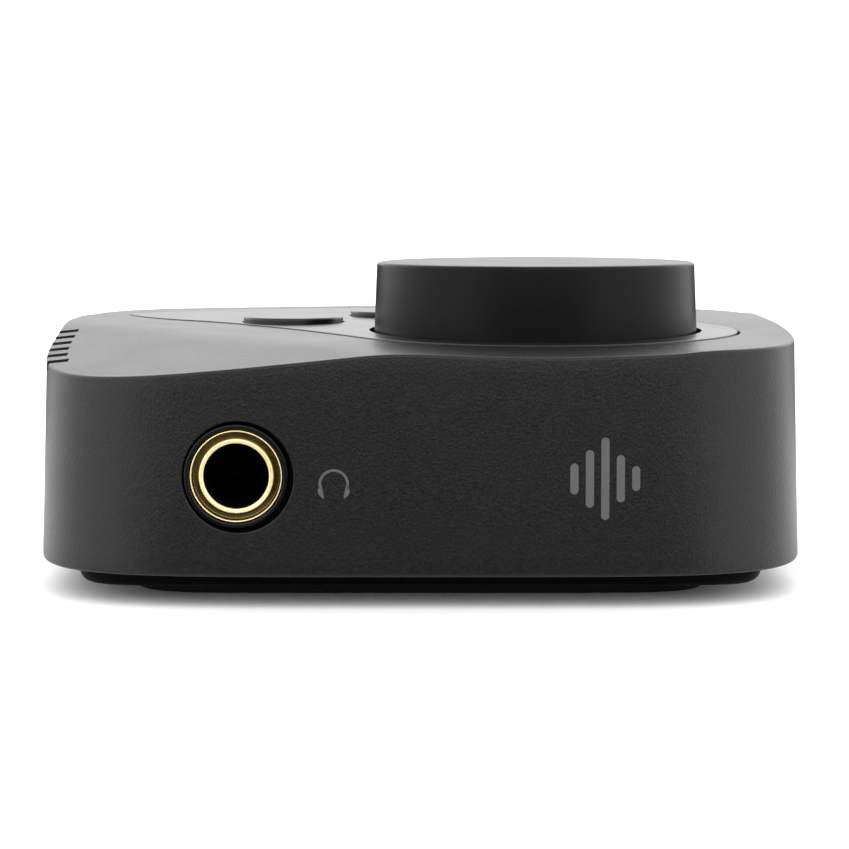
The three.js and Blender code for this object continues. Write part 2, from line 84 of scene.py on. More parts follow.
COVER_HALF, COVER_LOW, COVER_HIGH, COVER_ROUND = 34.4, -1.65, 1.6, 1.3
PAD_HALF, PAD_DEPTH_SHARE, PAD_FORWARD = 29.8, 0.925, 1.4
POSTS = [(27, 25.4), (-27, 25.4), (-27, -25.4), (27, -25.4)]
PHONES_X, PHONES_H = -17.9, 9.8
# The photographed socket sits a little off the centre of its opening; the CAD has one axis, radius 5.35.
OPENING_X, OPENING_H, OPENING_R = PHONES_X + 0.18, PHONES_H - 0.06, 5.42
LINE_X, LINE_H = -17.0, 11.2
USB_X, USB_H, USB_MOUTH = -0.2, 11.2, 35.9
SWITCH_X, SWITCH_H, SWITCH_TRAVEL = 16.5, 10.0, 2.86
LED_X, LED_H, LED_HOLE_R = 8.9, 12.7, 0.5
FACE = 38.8
COLUMNS = 480


# ---- Mesh helpers --------------------------------------------------------------------------------
def loft(rings, ends="caps"):
    """Vertices and faces through rings of equal count: 'caps' closes both ends, 'ring' joins last to first."""
    count = len(rings[0])
    verts = [p for ring in rings for p in ring]
    faces = []
    for k in range(len(rings) if ends == "ring" else len(rings) - 1):
        a, b = k * count, ((k + 1) % len(rings)) * count
        faces += [(a + i, a + (i + 1) % count, b + (i + 1) % count, b + i) for i in range(count)]
    if ends == "caps":
        for start, flip in ((0, True), ((len(rings) - 1) * count, False)):
            ring = verts[start:start + count]
            verts.append(tuple(sum(c) / count for c in zip(*ring)))
            centre = len(verts) - 1
            for i in range(count):
                pair = (start + (i + 1) % count, start + i) if flip else (start + i, start + (i + 1) % count)
                faces.append((*pair, centre))
    return verts, faces


def lathe(profile, place, count=128, ends="caps"):
    """A turned form: profile is (radius, along) pairs, and place(u, v, along) gives the point."""
    angles = [TURN * i / count for i in range(count)]
    return loft([[place(r * math.cos(a), r * math.sin(a), s) for a in angles] for r, s in profile], ends)


def upright(x, y):
    return lambda u, v, s: (x + u, y + v, BASE + s)


def along_y(x, h):
    return lambda u, v, s: (x + u, s, BASE + h + v)


def eased(points, radii, steps=5):
    """A profile with its corners rounded: radii gives the radius at each point, 0 for a sharp one."""
    made = []
    for k, (point, radius) in enumerate(zip(points, radii)):
        if not radius or k in (0, len(points) - 1):
            made.append(point)
            continue
        here = Vector(point)
        before, after = Vector(points[k - 1]) - here, Vector(points[k + 1]) - here
        a = here + before.normalized() * min(radius, 0.49 * before.length)
        b = here + after.normalized() * min(radius, 0.49 * after.length)
        for i in range(steps + 1):
            t = i / steps
            made.append(tuple(a * (1 - t) ** 2 + here * (2 * t * (1 - t)) + b * t ** 2))
    return made


def joined(*parts):
    verts, faces = [], []
    for v, f in parts:
        base = len(verts)
        verts += v
        faces += [tuple(base + i for i in face) for face in f]
    return verts, faces


def shade(obj, angle=32):
    bm = bmesh.new()
    bm.from_mesh(obj.data)
    bmesh.ops.recalc_face_normals(bm, faces=bm.faces)
    for face in bm.faces:
        face.smooth = True
    for edge in bm.edges:
        edge.smooth = len(edge.link_faces) == 2 and edge.calc_face_angle(0) < math.radians(angle)
    bm.to_mesh(obj.data)
    bm.free()


def build(name, form, material=None, body="case", stands_for=(), angle=32, cutters=()):
    """An object from (vertices, faces) in millimetres, less its cutters, on a body."""
    mesh = bpy.data.meshes.new(name)
    mesh.from_pydata([tuple(c * MM for c in v) for v in form[0]], [], form[1])
    obj = bpy.data.objects.new(name, mesh)
    bpy.context.scene.collection.objects.link(obj)
    shade(obj, angle)
    if cutters:
        cut(obj, cutters, angle)
    if material:
        obj.data.materials.clear()
        obj.data.materials.append(material)
        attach(obj, body)
        if stands_for:
            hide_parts(*stands_for)
    return obj


def cut(obj, cutters, angle):
    tool = build("cutter", joined(*cutters))
    step = obj.modifiers.new("cut", "BOOLEAN")
    step.object, step.operation, step.solver = tool, "DIFFERENCE", "EXACT"
    graph = bpy.context.evaluated_depsgraph_get()
    mesh = bpy.data.meshes.new_from_object(obj.evaluated_get(graph))
    obj.modifiers.clear()
    obj.data = mesh
    bpy.data.objects.remove(tool)
    shade(obj, angle)


# ---- The housing's outline and top surface -------------------------------------------------------
def outline_radius(half, angle, squareness=SQUARENESS):
    c, s = abs(math.cos(angle)), abs(math.sin(angle))
    return half * (c ** squareness + s ** squareness) ** (-1 / squareness)


ANGLES = [TURN * i / COLUMNS + 0.12 * math.sin(4 * TURN * i / COLUMNS) for i in range(COLUMNS)]


def ring_of(radii, heights):
    return [(r * math.cos(a), r * math.sin(a), BASE + h) for a, r, h in zip(ANGLES, radii, heights)]


def level(half, h, squareness=SQUARENESS):
    return ring_of([outline_radius(half, a, squareness) for a in ANGLES], [h] * COLUMNS)


def rim_height(angle):
    """Height of the wall's upper edge: a curve through the RIM values that never overshoots them."""
    a = math.degrees(angle) % 360
    last = len(RIM) - 1
    i = max(k for k in range(last) if RIM[k][0] <= a)

    def slope(k):
        return (RIM[k + 1][1] - RIM[k][1]) / (RIM[k + 1][0] - RIM[k][0])

    def tangent(k):
        before, after = slope(last - 1 if k == 0 else k - 1), slope(0 if k == last else k)
        return 2 * before * after / (before + after) if before * after > 0 else 0

    width = RIM[i + 1][0] - RIM[i][0]
    t = (a - RIM[i][0]) / width
    return (RIM[i][1] * (1 + 2 * t) * (1 - t) ** 2 + RIM[i + 1][1] * t * t * (3 - 2 * t)
            + width * tangent(i) * t * (1 - t) ** 2 + width * tangent(i + 1) * t * t * (t - 1))


def crown(y):
    return 22.8 - 0.8 * ((HALF - y) / 71) ** 2


def slope_height(x, y):
    """Height of the plane that slopes down to the front left corner."""
    return 21.7 + 0.102 * (x + 39) + 0.137 * (y + 12)


def bezier(points, steps):
    made = []
    for i in range(1, steps + 1):
        t, line = i / steps, [Vector(p) for p in points]
        while len(line) > 1:
            line = [a.lerp(b, t) for a, b in zip(line, line[1:])]
        made.append(tuple(line[0]))
    return made


def panel_outline():
    """Leaf-shaped outline of the top panel: an arc round the knob, out to a tip at the left rear."""
    made = []
    for i in range(121):
        a = math.radians(ARC_FROM + (ARC_TO - ARC_FROM) * i / 120)
        made.append((ARC_X + ARC_R * math.cos(a), ARC_Y + ARC_R * math.sin(a)))
    made += bezier([made[-1], (24.2, 17)], 20)
    made += bezier([(24.2, 17), (20.5, 29.5), (9, 30.5)], 30)
    made += bezier([(9, 30.5), (-14, 31), (-24, 28.5), (-32.6, 19.3)], 50)
    made += bezier([(-32.6, 19.3), (-34.6, 17.2), (-33, 14.6)], 14)
    made += bezier([(-33, 14.6), (-30.5, 9), (-26, 5.2)], 20)
    made += bezier([(-26, 5.2), (-17.6, -1.5), made[0]], 40)
    return made


def reach(points, angle):
    """Distance from the centre to a closed plan curve along a direction."""
    dx, dy = math.cos(angle), math.sin(angle)
    best = 0
    for p, q in zip(points, points[1:] + points[:1]):
        ex, ey = q[0] - p[0], q[1] - p[1]
        det = ex * dy - ey * dx
        if abs(det) < 1e-12:
            continue
        distance, along = (ex * p[1] - ey * p[0]) / det, (dx * p[1] - dy * p[0]) / det
        if distance > 0 and -1e-9 <= along <= 1 + 1e-9:
            best = max(best, distance)
    return best


PANEL = panel_outline()
PANEL_REACH = [reach(PANEL, a) for a in ANGLES]


def top_height(column, radius):
    """Height of the top: crowned over the panel, ruled out to the rim, less the sloped corner."""
    angle, inner = ANGLES[column], PANEL_REACH[column]
    x, y = radius * math.cos(angle), radius * math.sin(angle)
    if radius <= inner:
        upper = crown(y)
    else:
        t = min(1, (radius - inner) / (outline_radius(HALF_TOP, angle) - inner))
        edge = crown(inner * math.sin(angle))
        upper = edge + (rim_height(angle) - edge) * t
    sloped = slope_height(x, y)
    near = max(0, 1 - abs(upper - sloped) / 0.5)
    return min(upper, sloped) - 0.125 * near * near


def wall_y(x, h):
    """Where the front or rear wall stands at a place x across and h up, as a distance from the centre."""
    half = HALF - (HALF - HALF_TOP) * h / 22.3
    return (half ** SQUARENESS - abs(x) ** SQUARENESS) ** (1 / SQUARENESS)


def shell_form():
    lip = 0.1
    rings = [
        ring_of([r - 2 for r in PANEL_REACH], [PANEL_FLOOR] * COLUMNS),
        ring_of(PANEL_REACH, [PANEL_FLOOR] * COLUMNS),
        ring_of(PANEL_REACH, [top_height(i, r) - lip for i, r in enumerate(PANEL_REACH)]),
    ]
    crest = [outline_radius(HALF_TOP - EDGE, a) for a in ANGLES]
    for k in range(29):
        t = k / 28
        radii = [(r + lip) * (1 - t) + c * t for r, c in zip(PANEL_REACH, crest)]
        rings.append(ring_of(radii, [top_height(i, r) for i, r in enumerate(radii)]))
    tops = [top_height(i, r) for i, r in enumerate(crest)]
    for k in range(1, 7):
        a = math.radians(15 * k)
        radii = [outline_radius(HALF_TOP - EDGE * (1 - math.sin(a)), b) for b in ANGLES]
        rings.append(ring_of(radii, [h - EDGE * (1 - math.cos(a)) for h in tops]))
    foot = 0.35
    for k in range(1, 13):
        t = k / 12
        radii = [outline_radius(HALF_TOP + (HALF - HALF_TOP) * t, a) for a in ANGLES]
        rings.append(ring_of(radii, [(h - EDGE) * (1 - t) + foot * t for h in tops]))
    for k in range(1, 6):
        a = math.radians(18 * k)
        rings.append(level(HALF - foot * (1 - math.cos(a)), foot * (1 - math.sin(a))))
    rings += [level(34.75, 0, COVER_SQUARENESS), level(34.7, 0.05, COVER_SQUARENESS)]
    rings += [level(34.7, LIP_HEIGHT + 1, COVER_SQUARENESS), level(HALF_TOP - WALL, LIP_HEIGHT + 1)]
    inside = [outline_radius(HALF_TOP - WALL, a) for a in ANGLES]
    rings.append(ring_of(inside, [min(ROOF_INSIDE, top_height(i, r) - WALL) for i, r in enumerate(inside)]))
    rings.append(ring_of([r - 2 for r in PANEL_REACH], [ROOF_INSIDE] * COLUMNS))
    return loft(rings, "ring")


def stadium(x, h, w, t, steps=24):
    """Outline of a stadium in the wall's plane, as (x, h) pairs."""
    r, made = t / 2, []
    for side in (1, -1):
        for i in range(steps + 1):
            a = math.pi * i / steps - math.pi / 2
            made.append((x + side * ((w / 2 - r) + r * math.cos(a)), h + side * r * math.sin(a)))
    return made


def circle(x, h, r, steps=96):
    return [(x + r * math.cos(TURN * i / steps), h + r * math.sin(TURN * i / steps)) for i in range(steps)]


def prism(points, y0, y1):
    return loft([[(x, y, BASE + h) for x, h in points] for y in (y0, y1)])


def box_form(low, high):
    (x0, y0, h0), (x1, y1, h1) = low, high
    return prism([(x0, h0), (x1, h0), (x1, h1), (x0, h1)], y0, y1)


def grown(points, by):
    """A convex outline moved outwards by a distance."""
    made = []
    for k, (x, h) in enumerate(points):
        (ax, ah), (bx, bh) = points[k - 1], points[(k + 1) % len(points)]
        tangent = Vector((bx - ax, bh - ah)).normalized()
        made.append((x + tangent.y * by, h - tangent.x * by))
    return made


def port_rim(name, points, side, width, depth, material):
    """The chamfered edge of a hole in the front (-1) or rear (+1) wall, following the wall's curve."""
    def ring(by, sunk):
        return [(x, side * (wall_y(x, h) - sunk), BASE + h) for x, h in grown(points, by)]
    steps = [(0, depth), (0, width), (0.3 * width, 0.3 * width), (width, -0.012), (width + 0.1, -0.004)]
    steps += [(width + 0.1, 0.05), (0.1, depth)]
    return build(name, loft([ring(*s) for s in steps], "ring"), material, "case", angle=50)


# ---- Materials -----------------------------------------------------------------------------------
def finish(name, color, roughness, metallic=0.0, specular=0.5, grain=0.2, bump=0.006, spread=0.2,
           speckle=0.0, blotch=0.06, coat=0.0, turned=None):
    """A procedural finish. grain is the texture's size in mm and bump its depth in mm; spread is how far
    the colour varies with the grain, blotch how far the roughness varies over some millimetres, and
    turned (x, y, z) the centre of turning marks round the Y axis."""
    m = bpy.data.materials.new(name)
    m.use_nodes = True
    nodes, links = m.node_tree.nodes, m.node_tree.links
    shader = nodes["Principled BSDF"]
    shader.inputs["Metallic"].default_value = metallic
    shader.inputs["Specular IOR Level"].default_value = specular
    if coat:
        shader.inputs["Coat Weight"].default_value = coat
        shader.inputs["Coat Roughness"].default_value = 0.12
    place = nodes.new("ShaderNodeTexCoord").outputs["Object"]

    def noise(size, detail, rough=0.5, source=place):
        node = nodes.new("ShaderNodeTexNoise")
        node.inputs["Scale"].default_value = 1 / (size * MM)
        node.inputs["Detail"].default_value = detail
        node.inputs["Roughness"].default_value = rough
        links.new(source, node.inputs["Vector"])
        return node.outputs["Fac"]

    def ranged(source, low, high, start=0.3, stop=0.7):
        node = nodes.new("ShaderNodeMapRange")
        for key, value in (("From Min", start), ("From Max", stop), ("To Min", low), ("To Max", high)):
            node.inputs[key].default_value = value
        links.new(source, node.inputs["Value"])
        return node.outputs["Result"]

    def maths(kind, a, b):
        node = nodes.new("ShaderNodeMath")
        node.operation = kind
        for socket, value in zip(node.inputs, (a, b)):
            if isinstance(value, (int, float)):
                socket.default_value = value
            else:
                links.new(value, socket)
        return node.outputs[0]

    small, large = noise(grain, 3, 0.6), noise(7, 2)
    tone = ranged(small, 1 - spread, 1 + spread)
    tone = maths("MULTIPLY", tone, ranged(large, 1 - blotch, 1 + blotch))
    mix = nodes.new("ShaderNodeMix")
    mix.data_type = "RGBA"
    mix.blend_type = "MULTIPLY"
    mix.inputs["Factor"].default_value = 1
    mix.inputs["A"].default_value = (*color, 1)
    links.new(tone, mix.inputs["B"])
    links.new(mix.outputs["Result"], shader.inputs["Base Color"])
    rough = maths("ADD", ranged(large, roughness - blotch, roughness + blotch), ranged(small, -0.03, 0.03))
    height = small
    if speckle:
        cells = nodes.new("ShaderNodeTexVoronoi")
        cells.inputs["Scale"].default_value = 1 / (1.6 * grain * MM)
        links.new(place, cells.inputs["Vector"])
        height = maths("ADD", small, maths("MULTIPLY", cells.outputs["Distance"], speckle))
    if turned:
        shift = nodes.new("ShaderNodeVectorMath")
        shift.operation = "SUBTRACT"
        shift.inputs[1].default_value = [c * MM for c in turned]
        links.new(place, shift.inputs[0])
        parts = nodes.new("ShaderNodeSeparateXYZ")
        links.new(shift.outputs[0], parts.inputs[0])
        spin = maths("SQRT", maths("ADD", maths("MULTIPLY", parts.outputs[0], parts.outputs[0]),
                                   maths("MULTIPLY", parts.outputs[2], parts.outputs[2])), 0)
        gather = nodes.new("ShaderNodeCombineXYZ")
        links.new(spin, gather.inputs[0])
        links.new(parts.outputs[1], gather.inputs[1])
        marks = noise(0.09, 2, 0.6, gather.outputs[0])
        height = maths("ADD", maths("MULTIPLY", small, 0.3), marks)
        rough = maths("ADD", rough, ranged(marks, -0.08, 0.1))
    links.new(rough, shader.inputs["Roughness"])
    node = nodes.new("ShaderNodeBump")
    node.inputs["Strength"].default_value = 1
    node.inputs["Distance"].default_value = bump * MM
    links.new(height, node.inputs["Height"])
    links.new(node.outputs["Normal"], shader.inputs["Normal"])
    return m


SHELL = finish("shell_matte", (0.004, 0.004, 0.0041), 0.38, specular=0.30, grain=0.2, bump=0.026,
               spread=0.9, speckle=0.5, blotch=0.012)
PANEL_FINISH = finish("panel_satin", (0.004, 0.004, 0.0041), 0.32, specular=0.30, grain=0.12, bump=0.002,
                      spread=0.2, blotch=0.012)
KNOB_FINISH = finish("knob_satin", (0.001, 0.001, 0.001), 0.34, specular=0.12, grain=0.16, bump=0.012,
                     spread=0.5, blotch=0.012)
BUTTON_FINISH = finish("button_satin", (0.004, 0.004, 0.0041), 0.32, specular=0.34, grain=0.12, bump=0.003,
                       spread=0.2, blotch=0.012)
COVER_FINISH = finish("cover_black", (0.0005, 0.0005, 0.0005), 0.55, specular=0.05, grain=0.3, bump=0.01)
RUBBER = finish("pad_rubber", (0.006, 0.006, 0.006), 0.75, specular=0.2, grain=0.35, bump=0.03, speckle=0.4)
SOCKET = finish("socket_black", (0.0025, 0.0025, 0.0025), 0.32, specular=0.22, grain=0.15, bump=0.002)
GOLD = finish("gold_polished", (0.95, 0.80, 0.42), 0.34, metallic=0.5, grain=0.15, bump=0.001, spread=0.04,
              turned=(PHONES_X, 0, BASE + PHONES_H))
# Painted shade: the headphone ferrule's metal is a much darker copy of the bright gold, so that its band reads
# as shaded; the turning marks on it are real.
BAND_PAINTED_SHADE = finish("gold_brushed_painted_shade", (0.15, 0.115, 0.045), 0.3, metallic=1, grain=0.15, bump=0.012, spread=0.15,
              turned=(PHONES_X, 0, BASE + PHONES_H))
DARK = finish("bore_black", (0.002, 0.002, 0.002), 0.5, specular=0.15, grain=0.2, bump=0.004)
BRASS = finish("brass_plain", (0.72, 0.50, 0.20), 0.28, metallic=1, grain=0.15, bump=0.002, spread=0.06)
NICKEL = finish("steel", (0.60, 0.60, 0.61), 0.28, metallic=1, grain=0.15, bump=0.002, spread=0.08)
BRIGHT = finish("nickel_bright", (0.85, 0.85, 0.86), 0.3, metallic=0.8, grain=0.15, bump=0.001, spread=0.05)
DULL = finish("nickel_dull", (0.17, 0.17, 0.175), 0.4, metallic=1, grain=0.12, bump=0.002, spread=0.08,
              turned=(LINE_X, 0, BASE + LINE_H))
WHITE = finish("marking_white", (0.38, 0.38, 0.375), 0.5, grain=0.2, bump=0.003, spread=0.05)
PRINT = finish("print_grey", (0.06, 0.06, 0.061), 0.55, grain=0.15, bump=0.003, spread=0.12)
CLEAR = finish("light_clear", (0.004, 0.004, 0.004), 0.3, specular=0.15, grain=0.2, bump=0.002, spread=0.08)
BOARD = finish("board_green", (0.015, 0.10, 0.055), 0.35, grain=0.8, bump=0.01, spread=0.25, coat=0.3)
CHIP = finish("chip_black", (0.014, 0.014, 0.015), 0.5, grain=0.15, bump=0.006, spread=0.2)
CELL = finish("cell_silver", (0.50, 0.51, 0.53), 0.35, metallic=0.8, grain=1.2, bump=0.02, spread=0.1)
BY_SLOT = {
    "shell_matte": SHELL, "panel_satin": PANEL_FINISH, "knob_satin": KNOB_FINISH, "cover_black": COVER_FINISH,
    "pad_rubber": RUBBER, "socket_black": SOCKET, "gold_brass": BRASS, "steel": NICKEL,
    "marking_white": WHITE, "light_clear": CLEAR, "board_green": BOARD, "chip_black": CHIP,
    "cell_silver": CELL,
}
for row in frame["record"]["subparts"]:
    data = frame["nodes"][row["node"]].data
    data.materials.clear()
    data.materials.append(BY_SLOT[row["material_slot"]])

# ---- Housing -------------------------------------------------------------------------------------
switch_at = SWITCH_X + SWITCH_TRAVEL / 2
holes = {
    "phones": (circle(OPENING_X, OPENING_H, OPENING_R), -1, 0.07),
    "line_in": (circle(LINE_X, LINE_H, 3.2), 1, 0.14),
    "usb": (stadium(USB_X, USB_H, 10.2, 4.3), 1, 0.14),
    "switch": (stadium(SWITCH_X, SWITCH_H, 8.1, 4.45), 1, 0.14),
    "light": (circle(LED_X, LED_H, LED_HOLE_R, 32), 1, 0.05),
}
cutters = [prism(grown(points, 0.05), side * 34.6, side * 41) for points, side, width in holes.values()]
for i in range(VENTS):
    y = VENT_FIRST - VENT_PITCH * i
    wall = (HALF_TOP ** SQUARENESS - abs(y) ** SQUARENESS) ** (1 / SQUARENESS)
    low, half = slope_height(-wall, y) - VENT_DOWN, VENT_WIDTH / 2
    cutters.append(box_form((-41, y - half, low), (VENT_DEPTH - wall, y + half, 30)))
build("housing", shell_form(), SHELL, "case", ["top_shell"], cutters=cutters)
for key, (points, side, width) in holes.items():
    port_rim("rim_" + key, points, side, width, 2.4, SHELL)

# ---- Top panel -----------------------------------------------------------------------------------
inner = [r - PANEL_GAP for r in PANEL_REACH]
rings = [ring_of(inner, [PANEL_FLOOR + 0.05] * COLUMNS)]
for inset, down in ((0, 0.16), (0.03, 0.06), (0.09, 0.015), (0.18, 0)):
    radii = [r - inset for r in inner]
    rings.append(ring_of(radii, [crown(r * math.sin(a)) + PANEL_PROUD - down for r, a in zip(radii, ANGLES)]))
for share in (0.93, 0.85, 0.75, 0.65, 0.55, 0.45, 0.35, 0.25, 0.15, 0.07):
    radii = [r * share for r in inner]
    rings.append(ring_of(radii, [crown(r * math.sin(a)) + PANEL_PROUD for r, a in zip(radii, ANGLES)]))
cutters = [lathe([(BUTTON_HOLE_R, 15), (BUTTON_HOLE_R, 26)], upright(x, y)) for x, y in BUTTONS.values()]
cutters.append(lathe([(KNOB_HOLE_R, 15), (KNOB_HOLE_R, 26)], upright(KNOB_X, KNOB_Y), 256))
build("panel", loft(rings), PANEL_FINISH, "case", ["top_panel"], cutters=cutters)

# ---- Knob and buttons ----------------------------------------------------------------------------
foot = KNOB_BASE + 0.01
profile = eased(
    [(4.8, KNOB_UNDER), (KNOB_BROW_R - KNOB_SKIN - 0.01, KNOB_UNDER), (KNOB_FOOT_R - KNOB_SKIN, foot),
     (KNOB_FOOT_R, foot), (KNOB_BROW_R + 0.01, KNOB_TOP - 0.12), (KNOB_BROW_R - 0.7, KNOB_TOP), (3, KNOB_TOP),
     (0.2, KNOB_TOP)],
    [0, 0, 0, 0.3, 0.32, 0.5, 0, 0], 8)
build("knob_cap", lathe(profile, upright(KNOB_X, KNOB_Y), 256), KNOB_FINISH, "knob",
      ["volume_knob"], angle=30)
for key, (x, y) in BUTTONS.items():
    top = crown(y) + PANEL_PROUD + BUTTON_PROUD
    profile = eased([(0.2, FLANGE_LOW), (FLANGE_R, FLANGE_LOW), (FLANGE_R, FLANGE_HIGH),
                     (BUTTON_R, FLANGE_HIGH), (BUTTON_R, top), (3, top), (0.2, top)],
                    [0, 0, 0, 0, 0.3, 0, 0], 6)
    build("cap_" + key, lathe(profile, upright(x, y), 160), BUTTON_FINISH, key + "_button",
          ["button_" + key], angle=30)

# ---- Bottom --------------------------------------------------------------------------------------
rings = [level(COVER_HALF, COVER_HIGH, COVER_SQUARENESS)]
for k in range(9):
    a = math.radians(90 * k / 8)
    half, h = COVER_HALF - COVER_ROUND * (1 - math.cos(a)), COVER_LOW + COVER_ROUND * (1 - math.sin(a))
    rings.append(level(half, h, COVER_SQUARENESS))
rings.append(level(20, COVER_LOW, COVER_SQUARENESS))
cutters = [lathe([(2.1, -3), (2.1, -0.2), (1.15, -0.2), (1.15, 3)], upright(x, y), 64) for x, y in POSTS]
build("base_cover", loft(rings), COVER_FINISH, "case", ["bottom_cover"], cutters=cutters)
rings = []
for inset, h in ((0, -1.7), (0, -2.6), (0.06, -2.82), (0.18, -2.98), (0.38, -3.08), (0.6, -3.1), (9, -3.1)):
    radii = [outline_radius(PAD_HALF - inset, a, PAD_SQUARENESS) for a in ANGLES]
    rings.append([(r * math.cos(a), PAD_DEPTH_SHARE * r * math.sin(a) - PAD_FORWARD, BASE + h)
                  for r, a in zip(radii, ANGLES)])
build("foot_pad", loft(rings), RUBBER, "case", ["rubber_pad"])
for k, (x, y) in enumerate(POSTS):
    profile = eased([(0.1, -1.5), (1.75, -1.5), (1.75, -0.35), (0.95, -0.35), (0.95, 7), (0.1, 7)],
                    [0, 0.3, 0, 0, 0, 0])
    socket = lathe([(0.75, -2), (0.75, -0.8)], upright(x, y), 6)
    build(f"screw_{k + 1}", lathe(profile, upright(x, y), 48), NICKEL, "case",
          [f"cover_screw_{k + 1}"], cutters=[socket])

# ---- Headphone socket ----------------------------------------------------------------------------
place = along_y(PHONES_X, PHONES_H)
face = -FACE
profile = eased([(5.05, face + 1.1), (5.05, face + 0.1), (4.62, face + 0.1), (4.56, face + 0.35),
                 (4.56, face + 1.1)], [0, 0.14, 0.14, 0, 0])
build("phones_bezel", lathe(profile, place, 160, "ring"), SOCKET, "case",
      ["headphone_jack_bezel"])
profile = eased([(4.45, -31), (4.45, face + 0.3), (4.2, face + 0.9), (3.6, face + 0.9), (3.6, -31)],
                [0, 0.05, 0.1, 0, 0])
# The ferrule's band carries the gold with painted shade; its outer edge and the inner ring keep the bright
# gold.
build("phones_ferrule", lathe(profile, place, 160, "ring"), BAND_PAINTED_SHADE, "case",
      ["headphone_jack_ferrule"])
profile = eased([(4.46, face + 0.6), (4.46, face + 0.2), (4.36, face + 0.2), (4.34, face + 0.6)],
                [0, 0.05, 0.05, 0])
build("phones_edge", lathe(profile, place, 160, "ring"), GOLD, "case")
profile = eased([(3.62, face + 1.1), (3.62, face + 0.42), (3.19, face + 0.46), (3.19, face + 0.8)],
                [0, 0.12, 0.22, 0], 8)
build("phones_ring", lathe(profile, place, 160, "ring"), GOLD, "case")
profile = [(3.14, face + 0.7), (3.22, face + 1.2), (3.22, -13.1), (0.2, -13.1), (0.2, -13.0), (3.3, -13.0),
           (3.3, face + 0.7)]
build("phones_bore", lathe(profile, place, 96, "ring"), DARK, "case")

# ---- Line input ----------------------------------------------------------------------------------
place = along_y(LINE_X, LINE_H)
face = FACE
profile = eased([(2.95, 35), (2.95, face - 0.65), (2.5, face - 0.65), (2.5, 35)], [0, 0.12, 0.12, 0])
build("line_nose", lathe(profile, place, 128, "ring"), SOCKET, "case")
profile = eased([(2.45, 34.2), (2.45, face - 0.8), (1.78, face - 0.8), (1.78, 34.2)], [0, 0.3, 0.33, 0], 7)
build("line_ring", lathe(profile, place, 128, "ring"), DULL, "case", ["line_jack_ring"])
profile = [(1.79, 34.3), (1.79, 25.6), (0.1, 25.6), (0.1, 25.5), (1.85, 25.5), (1.85, 34.3)]
build("line_bore", lathe(profile, place, 64, "ring"), DARK, "case")

# ---- USB socket ----------------------------------------------------------------------------------
def stadium_ring(w, t, y):
    return [(x, y, BASE + h) for x, h in stadium(USB_X, USB_H, w, t)]


steps = [(8.94, 3.26, 28.7), (8.94, 3.26, USB_MOUTH - 0.1), (8.86, 3.18, USB_MOUTH - 0.02),
         (8.74, 3.06, USB_MOUTH), (8.54, 2.86, USB_MOUTH), (8.40, 2.72, USB_MOUTH - 0.05),
         (8.34, 2.66, USB_MOUTH - 0.16), (8.34, 2.66, 28.7)]
build("usb_shell", loft([stadium_ring(*s) for s in steps], "ring"), BRIGHT, "case",
      ["usb_socket_shell"])
steps = [(10.25, 4.35, 34.6), (10.25, 4.35, 35.8), (8.96, 3.28, 35.8), (8.96, 3.28, 34.6)]
build("usb_surround", loft([stadium_ring(*s) for s in steps], "ring"), DARK, "case")
steps = [(8.36, 2.68, 28.7), (8.36, 2.68, USB_MOUTH - 0.35), (8.26, 2.58, USB_MOUTH - 0.4),
         (8.26, 2.58, 28.7)]
build("usb_liner", loft([stadium_ring(*s) for s in steps], "ring"), DARK, "case")
steps = [(6.7, 0.70, USB_MOUTH - 6.5), (6.7, 0.70, USB_MOUTH - 1.1), (6.6, 0.6, USB_MOUTH - 1.02),
         (6.3, 0.3, USB_MOUTH - 1.0)]
rings = [stadium_ring(*s) for s in steps]
build("usb_tongue", joined(loft(rings), loft([stadium_ring(8.2, 2.55, 28.8), stadium_ring(8.2, 2.55, 30.6)])),
      CHIP, "case", ["usb_socket_tongue"])
pads = []
for k in range(12):
    x = USB_X + (k - 5.5) * 0.5
    for side in (1, -1):
        low, high = sorted((side * 0.34, side * 0.375))
        pads.append(box_form((x - 0.13, 31, USB_H + low), (x + 0.13, USB_MOUTH - 3.6, USB_H + high)))
build("usb_contacts", joined(*pads), BRASS, "case")

# ---- Power switch and status light ---------------------------------------------------------------
face = FACE - 0.5


def slider_ring(w, t, y):
    return [(x, y, BASE + h) for x, h in stadium(switch_at, SWITCH_H, w, t)]


steps = [(12, 6.4, 34.0), (12, 6.4, 34.8), (5, 3.95, 34.8), (5, 3.95, face - 0.18), (4.9, 3.85, face - 0.05),
         (4.7, 3.65, face)]
seat = prism(circle(switch_at, SWITCH_H, 1.1, 64), face - 0.2, face + 1)
build("switch_slider", loft([slider_ring(*s) for s in steps]), DARK, "slider",
      ["power_slider"], cutters=[seat])
profile = [(0.99, face - 0.19), (0.99, face - 0.02), (0.94, face), (0.45, face), (0.41, face - 0.02),
           (0.41, face - 0.19)]
build("switch_marker", lathe(profile, along_y(switch_at, SWITCH_H), 64, "ring"), WHITE, "slider",
      ["power_slider_marker"])
profile = eased([(0.05, 35), (0.4, 35), (0.4, FACE - 0.45), (0.05, FACE - 0.4)], [0, 0, 0.1, 0])
build("light_pipe", lathe(profile, along_y(LED_X, LED_H), 32), CLEAR, "case",
      ["status_light_pipe"])

# ---- Printed marks -------------------------------------------------------------------------------
def band(points, width):
    """Outline of a line of some width through points, with square ends."""
    left, right = [], []
    for k, p in enumerate(points):
        a, b = points[max(0, k - 1)], points[min(len(points) - 1, k + 1)]
        tangent = Vector((b[0] - a[0], b[1] - a[1])).normalized() * (width / 2)
        left.append((p[0] - tangent.y, p[1] + tangent.x))
        right.append((p[0] + tangent.y, p[1] - tangent.x))
    return list(zip(left, right))


